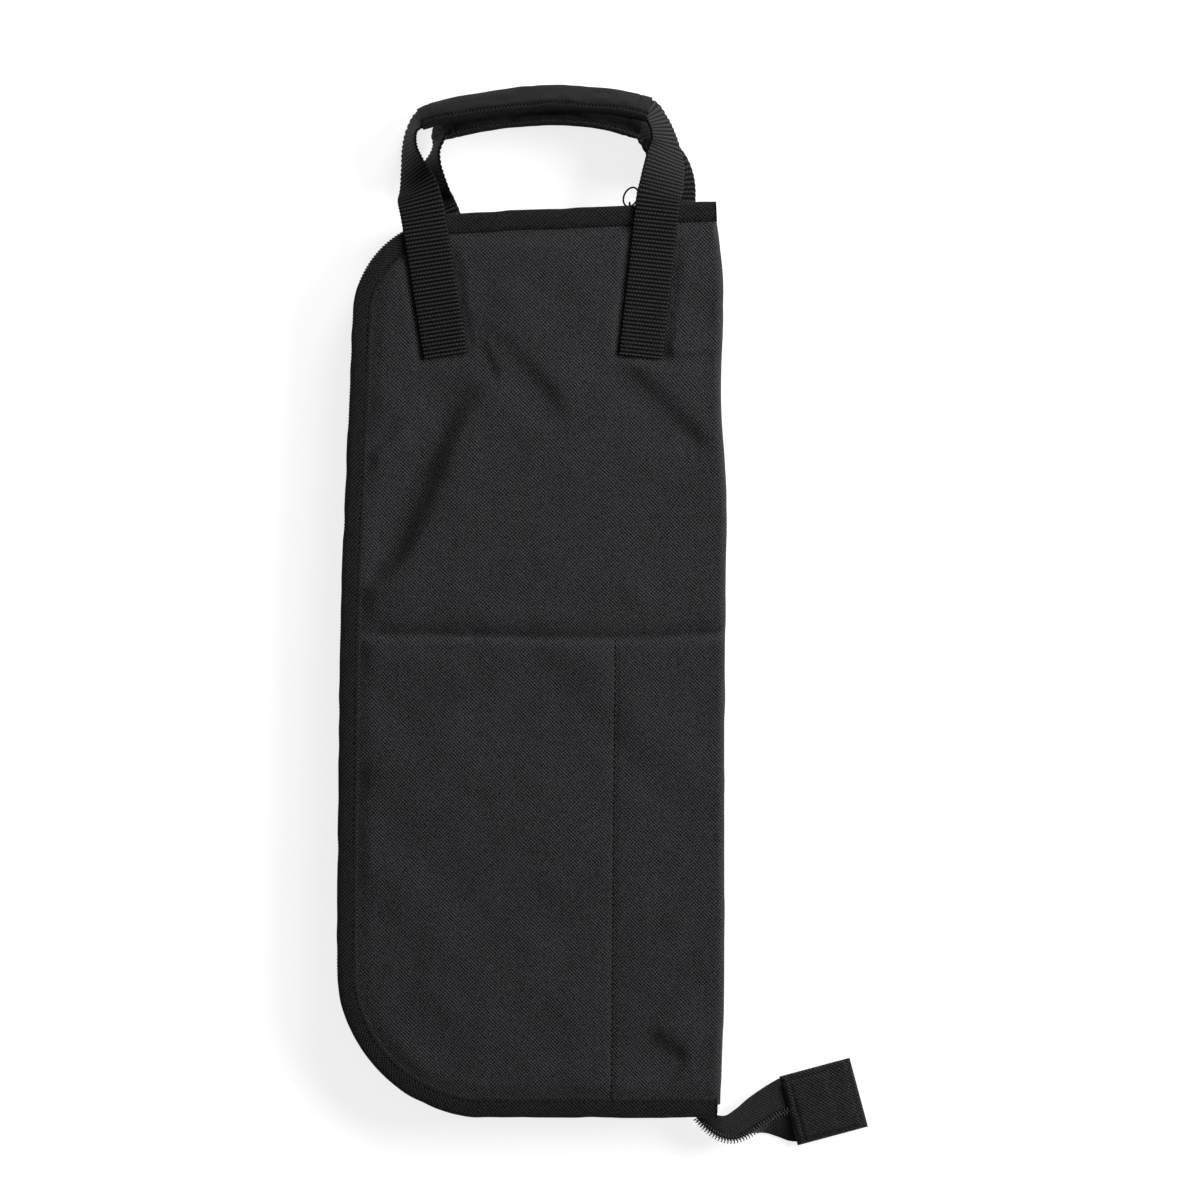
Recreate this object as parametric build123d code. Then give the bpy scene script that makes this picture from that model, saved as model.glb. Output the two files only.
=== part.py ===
from build123d import *
import math
import os

# Soft zip-round drum stick bag, lying on its back cover.
# +X towards the spine, +Y towards the handles, +Z up through the thickness.
# The origin is the middle of the bag's footprint, at the surface it lies on. Millimetres.

os.makedirs("parts", exist_ok=True)

# Bag outline, measured on the outer face of the zip
SPINE_EDGE_X = 63.6
TOP_LEFT = (-129.2, 207.4)
LEFT_MIDDLE = (-137.9, -5.0)
BOTTOM_LEFT = (-140.3, -264.6)
TOP_EDGE_RISE = 0.0456
TOP_LEFT_RADIUS = 52.0
LEFT_MIDDLE_RADIUS = 1500.0
BOTTOM_LEFT_RADIUS = 80.0
PAST_SPINE = 60.0

# Thickness of the closed bag and of each layer of a cover
BAG_THICKNESS = 26.0
MIDDLE_Z = BAG_THICKNESS / 2
SHELL_T = 0.8
PADDING_T = 3.2
LINING_T = 0.5
RIM_LIFT = 1.7
BINDING_T = 0.5
BINDING_WIDTH = 10.5
BINDING_HEIGHT = 3.8
PUFF_SLOPE = 0.8

# Zip
COIL_T = 1.8
COIL_HALF_WIDTH = 2.0
COIL_HALF_GAP = 1.1
TAPE_T = 0.6
TAPE_FLAT = 10.0
TOP_COIL_END_X = 33.0
TOP_TAPE_END_X = 44.0
BOTTOM_ZIP_END_X = 49.0

# Spine
SPINE_OUTER_X = 65.5
SPINE_CLEARANCE = 0.2
SPINE_GAP_Z = 0.3
SPINE_TOP_Y = 215.8
SPINE_BOTTOM_Y = -264.0

# Webbing of the handles
WEBBING_W = 23.5
WEBBING_T = 1.4
FOLD_Y = 163.0
FOLD_CLEARANCE = 0.3
STRAP_GAP = 0.3
SEWN_END_Y = 136.0
SEWN_END_T = 1.7
CHANNEL_MARGIN = 0.8
LEFT_STRAP = ((-81.4, 135.4), (-94.3, 216.0))
RIGHT_STRAP = ((21.0, 137.0), (29.8, 216.0))
BACK_STRAP_SHIFT = 7.7

# Grips
GRIP_THICKNESS = 7.6
GRIP_HEIGHT = 24.8
GRIP_FABRIC_T = 0.7
GRIP_LEAN = 82.2
GRIP_SEGMENTS = 10
EDGE_REST_HEIGHT = 12.4

# Inner pocket of the front cover
POCKET_TOP_Y = -14.0
POCKET_DEPTH = 6.0
POCKET_T = 0.8
POCKET_INSET = 13.0
POCKET_DIVIDER_X = 7.0
POCKET_HEM_W = 9.0
POCKET_HEM_T = 0.5

# Zip slider and its pull ring
SLIDER_X = 22.0
SLIDER_LENGTH = 11.0
SLIDER_WIDTH = 9.6
SLIDER_PLATE_T = 1.1
SLIDER_GAP = 0.3
SLIDER_INNER_GAP = 0.8
SLIDER_POST_LENGTH = 2.2
SLIDER_POST_WIDTH = 1.4
CROWN_X = -4.6
CROWN_SPAN = 2.0
CROWN_BAR = 1.0
CROWN_HEIGHT = 3.0
RING_HALF_LENGTH = 5.2
RING_HALF_WIDTH = 4.3
RING_WIRE_R = 0.4
RING_TILT = 62.0
RING_CLEARANCE = 0.2

# Zip tail past the spine, ending in a folded fabric tab
TAIL_TAPE_T = 0.6
TAIL_COIL_T = 2.0
TAIL_COIL_W = 4.4
TAB_LENGTH = 38.2
TAB_WIDTH = 36.2
TAB_CENTRE = (116.45, -256.4)
TAB_TILT = 15.0
TAB_LOW_Z = 0.6
TAB_HEIGHT = 5.6
TAB_FABRIC_T = 0.8
TAB_ROOM_DEPTH = 24.0


def top_edge_y(x):
    return TOP_LEFT[1] + (x - TOP_LEFT[0]) * TOP_EDGE_RISE


def outline(inset, right=SPINE_EDGE_X):
    """The bag's outline moved inwards by inset and cut off straight at the spine side."""
    far_x = SPINE_EDGE_X + PAST_SPINE
    bottom_y = BOTTOM_LEFT[1]
    corners = [(far_x, top_edge_y(far_x)), TOP_LEFT, LEFT_MIDDLE, BOTTOM_LEFT, (far_x, bottom_y)]
    radii = [TOP_LEFT_RADIUS, LEFT_MIDDLE_RADIUS, BOTTOM_LEFT_RADIUS]
    edge = FilletPolyline(*corners, radius=radii)
    closing = Line(corners[-1], corners[0])
    face = make_face(edge.edges() + closing.edges())
    if inset:
        face = offset(face, amount=-inset)
    width = 400.0
    keep = Pos(right - width / 2, 0) * Rectangle(width, 2 * width)
    return face & keep


def slab(inset, low, high, right=SPINE_EDGE_X):
    """The outline as a flat plate between two heights."""
    return Pos(0, 0, low) * extrude(outline(inset, right), amount=high - low)


def strip(start, end, width, low, high):
    """A straight flat strip along a line."""
    along = Vector(end[0] - start[0], end[1] - start[1])
    length = along.length
    angle = math.degrees(math.atan2(along.Y, along.X))
    middle = ((start[0] + end[0]) / 2, (start[1] + end[1]) / 2, (low + high) / 2)
    return Pos(*middle) * Rot(0, 0, angle) * Box(length, width, high - low)


def on_line(line, y, shift=0.0):
    """The point of a strap's centre line at height y."""
    (x0, y0), (x1, y1) = line
    return (x0 + (x1 - x0) * (y - y0) / (y1 - y0) + shift, y)


def between_y(low, high):
    size = 600.0
    return Pos(0, (low + high) / 2, 0) * Box(size, high - low, size)


def to_front(solid):
    """The mirror image of a back cover piece, as it lies on the front cover."""
    return mirror(solid, about=Plane.XY.offset(MIDDLE_Z))


# ---- one cover, modelled as the back one

def channels(shift, growth):
    """The grooves that the straps press into the padded cover."""
    grooves = []
    for line in (LEFT_STRAP, RIGHT_STRAP):
        start = on_line(line, SEWN_END_Y - CHANNEL_MARGIN - growth, shift)
        end = on_line(line, TOP_LEFT[1] + 20.0, shift)
        width = WEBBING_W + 2 * (CHANNEL_MARGIN + growth)
        grooves.append(strip(start, end, width, -5.0, RIM_LIFT + growth))
    return grooves


def envelope(shift, thickness):
    """Everything above a cover's outer surface, raised by thickness, up to the padding's top."""
    top = SHELL_T + PADDING_T
    binding_inner = COIL_T + BINDING_WIDTH
    field = slab(binding_inner + PUFF_SLOPE + thickness, thickness, top)
    rim = slab(COIL_T + BINDING_T, RIM_LIFT + BINDING_T + thickness, top)
    body = field + rim
    for groove in channels(shift, thickness):
        body = body - groove
    return body


def cover_shell(shift):
    return envelope(shift, 0.0) - envelope(shift, SHELL_T)


def cover_padding(shift):
    return envelope(shift, SHELL_T)


def cover_lining():
    low = SHELL_T + PADDING_T
    return slab(COIL_T + BINDING_T, low, low + LINING_T)


def cover_binding():
    """Folded tape round the cover's edge, open towards the cover's middle."""
    inner = COIL_T + BINDING_WIDTH
    whole = slab(COIL_T, RIM_LIFT, RIM_LIFT + BINDING_HEIGHT) - slab(inner, 0, BAG_THICKNESS)
    low = RIM_LIFT + BINDING_T
    high = SHELL_T + PADDING_T + LINING_T
    return whole - slab(COIL_T + BINDING_T, low, high)


def zip_end_trim():
    """Where the zip stops short of the spine at the top and at the bottom."""
    size = 300.0
    top = Pos(TOP_TAPE_END_X + size / 2, size / 2, 0) * Box(size, size, size)
    bottom = Pos(BOTTOM_ZIP_END_X + size / 2, -size / 2, 0) * Box(size, size, size)
    return top + bottom


def cover_zip_tape():
    """Half the zip's tape: sewn flat inside the binding, then turned up to the coil."""
    low = RIM_LIFT + BINDING_HEIGHT
    fold = low + TAPE_T
    high = MIDDLE_Z - COIL_HALF_GAP
    flat = slab(COIL_T, low, fold) - slab(COIL_T + TAPE_FLAT, low - 1, high + 1)
    wall = slab(COIL_T, fold, high) - slab(COIL_T + TAPE_T, low - 1, high + 1)
    trim = zip_end_trim()
    return Compound(children=[flat - trim, wall - trim])


def cover_zip_coil():
    """Half the zip's coil, on the outer face of its tape."""
    high = MIDDLE_Z - COIL_HALF_GAP
    low = high - COIL_HALF_WIDTH
    ring = slab(0, low, high) - slab(COIL_T, low - 1, high + 1)
    size = 300.0
    top_end = Pos(TOP_COIL_END_X + size / 2, size / 2, 0) * Box(size, size, size)
    return ring - zip_end_trim() - top_end


def zip_stop():
    """The small clip at the end of half the coil."""
    length = 2.4
    high = MIDDLE_Z - COIL_HALF_GAP
    low = high - COIL_HALF_WIDTH
    ring = slab(0, low, high) - slab(COIL_T, low - 1, high + 1)
    x = TOP_COIL_END_X + SPINE_GAP_Z + length / 2
    return ring & (Pos(x, TOP_LEFT[1], 0) * Box(length, 50, 100))


def sewn_end(line, shift):
    """A strap's doubled end, box-stitched to the cover below the fold."""
    start = on_line(line, SEWN_END_Y, shift)
    end = on_line(line, FOLD_Y + 10.0, shift)
    piece = strip(start, end, WEBBING_W, 0.0, SEWN_END_T)
    return piece & between_y(0.0, FOLD_Y - FOLD_CLEARANCE / 2)


# ---- spine

def spine_shell():
    low_x = SPINE_EDGE_X + 0.9
    high_x = SPINE_OUTER_X - SPINE_CLEARANCE
    length = SPINE_TOP_Y - SPINE_BOTTOM_Y
    middle = ((low_x + high_x) / 2, (SPINE_TOP_Y + SPINE_BOTTOM_Y) / 2, MIDDLE_Z)
    return Pos(*middle) * Box(high_x - low_x, length, BAG_THICKNESS - 2 * SPINE_GAP_Z)


def spine_lining():
    low_x = SPINE_EDGE_X + 0.3
    high_x = SPINE_EDGE_X + 0.8
    length = SPINE_TOP_Y - SPINE_BOTTOM_Y - 4.0
    middle = ((low_x + high_x) / 2, (SPINE_TOP_Y + SPINE_BOTTOM_Y) / 2, MIDDLE_Z)
    return Pos(*middle) * Box(high_x - low_x, length, BAG_THICKNESS - 4 * SPINE_GAP_Z)


# ---- inner pocket, on the front cover's lining

def pocket_walls(extra):
    inner = slab(POCKET_INSET + extra, 0.0, BAG_THICKNESS, SPINE_EDGE_X - 2.0 - extra)
    return inner & between_y(-300.0, POCKET_TOP_Y)


def pocket_panel():
    """Stick pocket: a sheet held off the lining by its edges and by the stitched divider."""
    high = BAG_THICKNESS - SHELL_T - PADDING_T - LINING_T
    low = high - POCKET_DEPTH - POCKET_T
    band = Pos(0, 0, (low + high) / 2) * Box(600, 600, high - low)
    room = Pos(0, 0, (low + POCKET_T + high) / 2) * Box(600, 600, POCKET_DEPTH)
    whole = pocket_walls(0.0) & band
    hollow = pocket_walls(POCKET_T) & room
    length = POCKET_TOP_Y + 262.0
    divider = Pos(POCKET_DIVIDER_X, POCKET_TOP_Y - length / 2, 0) * Box(POCKET_T, length, 100)
    mouth = Pos(0, POCKET_TOP_Y, 0) * (room & between_y(-4.0, 4.0))
    right = SPINE_EDGE_X - 2.0 - POCKET_T
    left = -120.0
    mouth = mouth & (Pos((left + right) / 2, 0, 0) * Box(right - left, 900, 900))
    return whole - (hollow - divider) - (mouth - divider)


def pocket_hem():
    """Binding tape folded over the pocket's top edge, on the face towards the sticks."""
    high = BAG_THICKNESS - SHELL_T - PADDING_T - LINING_T - POCKET_DEPTH - POCKET_T
    left = -122.0
    right = SPINE_EDGE_X - 2.5
    middle = ((left + right) / 2, POCKET_TOP_Y - POCKET_HEM_W / 2, high - POCKET_HEM_T / 2)
    return Pos(*middle) * Box(right - left, POCKET_HEM_W, POCKET_HEM_T)


# ---- ribbons: webbing, grips and the zip tail

def ribbon(stations, thickness):
    """A strip lofted through stations of (centre, width vector, unit vector across its thickness)."""
    sections = []
    for centre, width, across in stations:
        half_w = width * 0.5
        half_t = across * (thickness * 0.5)
        corners = [
            centre - half_w - half_t,
            centre + half_w - half_t,
            centre + half_w + half_t,
            centre - half_w + half_t,
        ]
        sections.append(make_face(Polyline(*corners, close=True)))
    return loft(sections, ruled=True)


def heading(points, i):
    """Unit direction of a flat route at point i."""
    before = points[max(i - 1, 0)]
    after = points[min(i + 1, len(points) - 1)]
    return Vector(after[0] - before[0], after[1] - before[1]).normalized()


def handle_stations(route, angles, edge_z, side, width):
    """Stations of a handle's strip. angles turn it from flat, 0, to on edge, 90. side is +1 where
    the outer edge stays low, as on the back handle, and -1 where the inner edge stays high."""
    stations = []
    for i, (x, y) in enumerate(route):
        along = heading(route, i)
        turn = math.radians(angles[i])
        inward = Vector(along.Y, -along.X)
        across_width = inward * math.cos(turn) + Vector(0, 0, 1) * math.sin(turn)
        across_thickness = across_width.cross(Vector(along.X, along.Y, 0))
        z = edge_z + side * EDGE_REST_HEIGHT * math.sin(turn)
        stations.append((Vector(x, y, z), across_width * width, across_thickness))
    return stations


def grip_route(left, middle, right):
    """Points along the grip's gentle arc."""
    arc = ThreePointArc(left, middle, right)
    points = []
    for i in range(GRIP_SEGMENTS + 1):
        point = arc @ (i / GRIP_SEGMENTS)
        points.append((point.X, point.Y))
    return points


FRONT_GRIP = ((-94.9, 261.7), (-37.4, 273.4), (24.2, 265.3))
BACK_GRIP = ((-84.8, 252.3), (-31.0, 264.0), (20.5, 254.6))

# Each leg outside its grip: x, y and the turn from flat, 0, to on edge, 90
FRONT_LEFT_LEG = [
    (-95.4, 219.0, 12.0), (-97.9, 229.0, 40.0), (-100.2, 239.0, 62.0),
    (-101.2, 248.0, 74.0), (-99.6, 256.0, 80.0),
]
FRONT_RIGHT_LEG = [
    (29.6, 261.0, 80.0), (32.4, 254.5, 72.0), (33.0, 247.0, 54.0),
    (32.3, 238.5, 30.0), (30.6, 226.0, 10.0),
]
BACK_LEFT_LEG = [
    (-89.2, 219.0, 12.0), (-90.4, 229.0, 40.0), (-90.9, 238.0, 62.0),
    (-90.6, 245.0, 74.0), (-88.6, 249.9, 80.0),
]
BACK_RIGHT_LEG = [
    (25.0, 250.6, 62.0), (30.0, 244.5, 34.0), (35.5, 237.5, 14.0),
    (38.4, 229.5, 8.0), (38.6, 221.0, 4.0),
]


def handle_route(legs, grip, lines, shift):
    """The handle's route and turn angles from one fold, through the grip, to the other fold."""
    arc = grip_route(*grip)
    start_y = FOLD_Y + FOLD_CLEARANCE / 2
    flat_y = 213.0
    left = [on_line(lines[0], start_y, shift), on_line(lines[0], flat_y, shift)]
    right = [on_line(lines[1], flat_y + 4.0, shift), on_line(lines[1], start_y, shift)]
    route = left + [leg[:2] for leg in legs[0]] + arc + [leg[:2] for leg in legs[1]] + right
    left_turns = [leg[2] for leg in legs[0]]
    right_turns = [leg[2] for leg in legs[1]]
    angles = [0.0, 0.0] + left_turns + [GRIP_LEAN] * len(arc) + right_turns + [0.0, 0.0]
    return route, angles


def webbing(route, angles, edge_z, side):
    """The handle's free webbing, cut square to the bag at both folds."""
    stations = handle_stations(route, angles, edge_z, side, WEBBING_W)
    for end, sign in ((0, 1), (-1, -1)):
        along = heading(route, 0 if end == 0 else len(route) - 1)
        width = WEBBING_W / abs(along.Y)
        stations[end] = (stations[end][0], Vector(sign * width, 0, 0), Vector(0, 0, 1))
    return ribbon(stations, WEBBING_T)


def grip_layer(grip, edge_z, side, height, thickness):
    route = grip_route(*grip)
    stations = handle_stations(route, [GRIP_LEAN] * len(route), edge_z, side, height)
    return ribbon(stations, thickness)


def handle(route_and_angles, grip, edge_z, side):
    """One handle: its webbing, the foam round it in the grip and the fabric round the foam."""
    strap = webbing(*route_and_angles, edge_z, side)
    inner = GRIP_THICKNESS - 2 * GRIP_FABRIC_T
    height = GRIP_HEIGHT - 2 * GRIP_FABRIC_T
    foam = grip_layer(grip, edge_z, side, height, inner)
    fabric = grip_layer(grip, edge_z, side, GRIP_HEIGHT, GRIP_THICKNESS) - foam - strap
    return strap, foam - strap, fabric


# ---- zip slider, built along +X at the zip's outer face, then placed on the top edge

def on_top_edge(solid):
    angle = math.degrees(math.atan(TOP_EDGE_RISE))
    return Pos(SLIDER_X, top_edge_y(SLIDER_X), MIDDLE_Z) * Rot(0, 0, angle) * solid


def slider_body():
    """Outer and inner plates joined by the post that parts the coil."""
    outer_y = SLIDER_GAP + SLIDER_PLATE_T / 2
    inner_y = -(COIL_T + TAPE_T + SLIDER_INNER_GAP) - SLIDER_PLATE_T / 2
    plate = Box(SLIDER_LENGTH, SLIDER_PLATE_T, SLIDER_WIDTH)
    plate = fillet(plate.edges().filter_by(Axis.Y), radius=2.0)
    post_length = outer_y - inner_y
    post = Box(SLIDER_POST_LENGTH, post_length, SLIDER_POST_WIDTH)
    post_x = SLIDER_LENGTH / 2 - SLIDER_POST_LENGTH
    body = Pos(0, outer_y, 0) * plate + Pos(0, inner_y, 0) * plate
    return on_top_edge(body + Pos(post_x, (outer_y + inner_y) / 2, 0) * post)


def slider_crown():
    """The small arch on the outer plate that the pull ring hangs in."""
    base_y = SLIDER_GAP + SLIDER_PLATE_T
    outer = Box(CROWN_BAR, CROWN_HEIGHT, 2 * (CROWN_SPAN + CROWN_BAR))
    hole = Box(CROWN_BAR * 3, CROWN_HEIGHT, 2 * CROWN_SPAN)
    arch = Pos(0, CROWN_HEIGHT / 2, 0) * outer - Pos(0, CROWN_HEIGHT / 2 - CROWN_BAR, 0) * hole
    return on_top_edge(Pos(CROWN_X, base_y, 0) * arch)


def ring_low_y():
    """Height of the ring's lowest wire centre above the zip's outer face."""
    return SLIDER_GAP + SLIDER_PLATE_T + RING_WIRE_R + RING_CLEARANCE


def pull_ring():
    """Oval wire ring standing out from the slider, its lowest wire through the crown."""
    tilt = math.radians(RING_TILT)
    low_angle = math.atan2(RING_HALF_WIDTH * math.cos(tilt), RING_HALF_LENGTH * math.sin(tilt))
    low_angle = low_angle + math.pi
    x_low = RING_HALF_LENGTH * math.cos(low_angle)
    y_low = RING_HALF_WIDTH * math.sin(low_angle)
    reach = math.hypot(RING_HALF_LENGTH * math.sin(tilt), RING_HALF_WIDTH * math.cos(tilt))
    low_x = x_low * math.cos(tilt) - y_low * math.sin(tilt)
    outer = Ellipse(RING_HALF_LENGTH + RING_WIRE_R, RING_HALF_WIDTH + RING_WIRE_R)
    inner = Ellipse(RING_HALF_LENGTH - RING_WIRE_R, RING_HALF_WIDTH - RING_WIRE_R)
    flat = Rot(0, 0, RING_TILT) * (outer - inner)
    ring = extrude(flat, amount=RING_WIRE_R, both=True)
    return on_top_edge(Pos(CROWN_X - low_x, ring_low_y() + reach, 0) * ring)


# ---- zip tail

# Each station: x, y and z on the coil, then the turn and the width of the upper and lower tape
TAIL = [
    (53.0, -268.2, 12.8, 90.0, 10.6, -90.0, 11.0),
    (57.0, -271.4, 12.2, 62.0, 10.6, -84.0, 10.2),
    (63.0, -274.4, 11.2, 34.0, 11.0, -80.0, 9.2),
    (70.4, -275.4, 9.8, 12.0, 12.4, -85.0, 7.8),
    (77.5, -273.4, 8.4, 3.0, 14.6, -95.0, 6.4),
    (85.0, -268.8, 6.4, 0.0, 15.2, -125.0, 5.6),
    (91.0, -264.7, 4.4, 0.0, 15.2, -168.0, 11.0),
    (94.6, -262.8, 3.2, 0.0, 15.2, -180.0, 13.0),
    (99.0, -261.1, 2.9, 0.0, 15.2, -180.0, 15.2),
    (112.0, -257.6, 2.9, 0.0, 15.2, -180.0, 15.2),
]


def tail_tape(turn_column, width_column, sign):
    """One half of the tail's tape, from the coil's edge outwards."""
    route = [(row[0], row[1]) for row in TAIL]
    stations = []
    for i, row in enumerate(TAIL):
        along = heading(route, i)
        turn = math.radians(row[turn_column])
        left = Vector(-along.Y, along.X)
        out = left * math.cos(turn) + Vector(0, 0, 1) * math.sin(turn)
        width = row[width_column]
        start = TAIL_COIL_W / 4
        centre = Vector(row[0], row[1], row[2]) + out * (start + width / 2)
        across = out.cross(Vector(along.X, along.Y, 0)) * sign
        stations.append((centre, out * width, across))
    return ribbon(stations, TAIL_TAPE_T)


def tail_coil():
    """The closed coil along the tail, standing on the face of the tape."""
    route = [(row[0], row[1]) for row in TAIL]
    turns = [90.0, 80.0, 62.0, 45.0, 30.0, 12.0, 0.0, 0.0, 0.0, 0.0]
    stations = []
    for i, row in enumerate(TAIL):
        along = heading(route, i)
        turn = math.radians(turns[i])
        left = Vector(-along.Y, along.X)
        out = left * math.cos(turn) + Vector(0, 0, 1) * math.sin(turn)
        across = Vector(along.X, along.Y, 0).cross(out)
        lift = TAIL_COIL_T / 2 + TAIL_TAPE_T / 2
        centre = Vector(row[0], row[1], row[2]) + across * lift
        stations.append((centre, out * TAIL_COIL_W, across))
    return ribbon(stations, TAIL_COIL_T)


def tab_place(solid):
    return Pos(TAB_CENTRE[0], TAB_CENTRE[1], TAB_LOW_Z) * Rot(0, 0, TAB_TILT) * solid


def tail_tab():
    """Fabric folded over the end of the tail and stitched round."""
    outer = Pos(0, 0, TAB_HEIGHT / 2) * Box(TAB_LENGTH, TAB_WIDTH, TAB_HEIGHT)
    outer = fillet(outer.edges().filter_by(Axis.Y), radius=1.2)
    room_height = TAB_HEIGHT - 2 * TAB_FABRIC_T
    room_x = -TAB_LENGTH / 2 + TAB_ROOM_DEPTH / 2 - 1.0
    room = Pos(room_x, 0, TAB_HEIGHT / 2) * Box(TAB_ROOM_DEPTH + 2.0, TAB_WIDTH - 3.0, room_height)
    return tab_place(outer - room)


def tail_stop():
    """The metal box that holds the zip's end together, inside the tab."""
    return tab_place(Pos(-1.4, 0.0, TAB_HEIGHT / 2) * Box(4.6, 6.0, 2.6))


# ---- whole bag

def build():
    parts = {}
    front_edge_z = BAG_THICKNESS - WEBBING_T / 2
    back_edge_z = WEBBING_T / 2

    shift = BACK_STRAP_SHIFT
    parts["back_shell"] = cover_shell(shift)
    parts["back_padding"] = cover_padding(shift)
    parts["back_lining"] = cover_lining()
    parts["back_binding"] = cover_binding()
    parts["back_zip_tape"] = cover_zip_tape()
    parts["back_zip_coil"] = cover_zip_coil()
    parts["back_zip_stop"] = zip_stop()
    parts["back_strap_end_left"] = sewn_end(LEFT_STRAP, shift)
    parts["back_strap_end_right"] = sewn_end(RIGHT_STRAP, shift)

    parts["front_shell"] = to_front(cover_shell(0.0))
    parts["front_padding"] = to_front(cover_padding(0.0))
    parts["front_lining"] = to_front(cover_lining())
    parts["front_binding"] = to_front(cover_binding())
    parts["front_zip_tape"] = to_front(cover_zip_tape())
    parts["front_zip_coil"] = to_front(cover_zip_coil())
    parts["front_zip_stop"] = to_front(zip_stop())
    parts["front_strap_end_left"] = to_front(sewn_end(LEFT_STRAP, 0.0))
    parts["front_strap_end_right"] = to_front(sewn_end(RIGHT_STRAP, 0.0))
    parts["inner_pocket_panel"] = pocket_panel()
    parts["inner_pocket_hem"] = pocket_hem()

    parts["spine_shell"] = spine_shell()
    parts["spine_lining"] = spine_lining()

    straps = (LEFT_STRAP, RIGHT_STRAP)
    route = handle_route((FRONT_LEFT_LEG, FRONT_RIGHT_LEG), FRONT_GRIP, straps, 0.0)
    strap, foam, fabric = handle(route, FRONT_GRIP, front_edge_z, -1)
    parts["front_handle_webbing"] = strap
    parts["front_grip_padding"] = foam
    parts["front_grip_sleeve"] = fabric

    route = handle_route((BACK_LEFT_LEG, BACK_RIGHT_LEG), BACK_GRIP, straps, shift)
    strap, foam, fabric = handle(route, BACK_GRIP, back_edge_z, 1)
    parts["back_handle_webbing"] = strap
    parts["back_grip_padding"] = foam
    parts["back_grip_sleeve"] = fabric

    parts["slider_body"] = slider_body()
    parts["slider_crown"] = slider_crown()
    parts["pull_ring"] = pull_ring()

    parts["tail_upper_tape"] = tail_tape(3, 4, 1)
    parts["tail_lower_tape"] = tail_tape(5, 6, 1)
    parts["tail_coil"] = tail_coil()
    parts["tail_tab"] = tail_tab()
    parts["tail_stop"] = tail_stop()
    return parts


for name, solid in build().items():
    export_step(solid, f"parts/{name}.step")
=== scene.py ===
import math

import bpy
import numpy as np
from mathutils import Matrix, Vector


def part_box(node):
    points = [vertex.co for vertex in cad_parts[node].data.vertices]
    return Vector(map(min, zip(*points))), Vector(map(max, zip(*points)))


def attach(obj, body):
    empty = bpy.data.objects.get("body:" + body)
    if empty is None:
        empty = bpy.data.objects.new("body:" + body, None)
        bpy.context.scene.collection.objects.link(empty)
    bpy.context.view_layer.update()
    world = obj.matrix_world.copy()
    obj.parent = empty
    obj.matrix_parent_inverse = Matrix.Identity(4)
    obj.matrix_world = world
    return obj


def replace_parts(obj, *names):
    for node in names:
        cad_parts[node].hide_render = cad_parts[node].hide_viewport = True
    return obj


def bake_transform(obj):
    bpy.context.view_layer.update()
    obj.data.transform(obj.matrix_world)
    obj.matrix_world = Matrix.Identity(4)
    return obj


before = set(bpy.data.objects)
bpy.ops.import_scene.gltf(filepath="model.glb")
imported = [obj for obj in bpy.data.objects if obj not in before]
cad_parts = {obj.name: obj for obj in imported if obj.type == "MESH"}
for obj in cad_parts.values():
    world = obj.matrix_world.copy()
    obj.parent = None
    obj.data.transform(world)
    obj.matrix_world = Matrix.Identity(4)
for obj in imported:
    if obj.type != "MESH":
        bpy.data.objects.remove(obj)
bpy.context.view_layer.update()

# Lengths are in millimetres until a mesh is made. +X spine, +Y handles, +Z up.
MM = 0.001
THICK = 26.0
MIDDLE = THICK / 2
TOP_LEFT = (-129.2, 207.4)
LEFT_MIDDLE = (-137.9, -5.0)
BOTTOM_LEFT = (-140.3, -264.6)
TOP_RISE = 0.0456
WEBBING_W = 23.5
RIB_PITCH = 2.08
GRIP_HEIGHT = 24.8
# Centre lines of the front straps, from the sewn end to the top edge
LEFT_STRAP = ((-81.4, 135.4), (-94.3, 216.0))
RIGHT_STRAP = ((21.0, 137.0), (29.8, 216.0))
BACK_SHIFT = 7.7
SEWN_Y = 136.0
CREASE = [(-132.0, -11.0), (-90.0, -10.5), (-30.0, -12.0), (20.0, -12.0), (70.0, -9.0)]
CREASE_Y = -11.0
DIVIDER = [(7.9, -14.0), (7.2, -90.0), (6.4, -180.0), (5.8, -253.0)]


# ---- small maths

def ease(t):
    t = np.clip(t, 0.0, 1.0)
    return t * t * (3.0 - 2.0 * t)


def bell(d, width):
    return np.exp(-(d / width) ** 2)


def noise(x, y, cell, seed):
    """Smooth seeded noise from -1 to 1 with features of about one cell."""
    table = np.random.default_rng(seed).uniform(-1.0, 1.0, (64, 64))
    u = np.asarray(x) / cell + 500.0
    v = np.asarray(y) / cell + 500.0
    i = np.floor(u).astype(int)
    j = np.floor(v).astype(int)
    a = ease(u - i)
    b = ease(v - j)
    i0, i1, j0, j1 = i % 64, (i + 1) % 64, j % 64, (j + 1) % 64
    low = table[i0, j0] * (1 - a) + table[i1, j0] * a
    high = table[i0, j1] * (1 - a) + table[i1, j1] * a
    return low * (1 - b) + high * b


def unit(v):
    return v / np.maximum(np.linalg.norm(v, axis=-1, keepdims=True), 1e-9)


def curve(points, step):
    """A smooth line through rows of numbers, sampled about every step along its first three."""
    p = np.asarray(points, float)
    q = np.vstack([2 * p[0] - p[1], p, 2 * p[-1] - p[-2]])
    fine = []
    for i in range(1, len(q) - 2):
        t = np.linspace(0.0, 1.0, 24, endpoint=False)[:, None]
        a, b, c, d = q[i - 1], q[i], q[i + 1], q[i + 2]
        fine.append(0.5 * (2 * b + (c - a) * t + (2 * a - 5 * b + 4 * c - d) * t ** 2
                           + (3 * b - a - 3 * c + d) * t ** 3))
    fine = np.vstack(fine + [p[-1:]])
    return resample(fine, step, 3)


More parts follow.
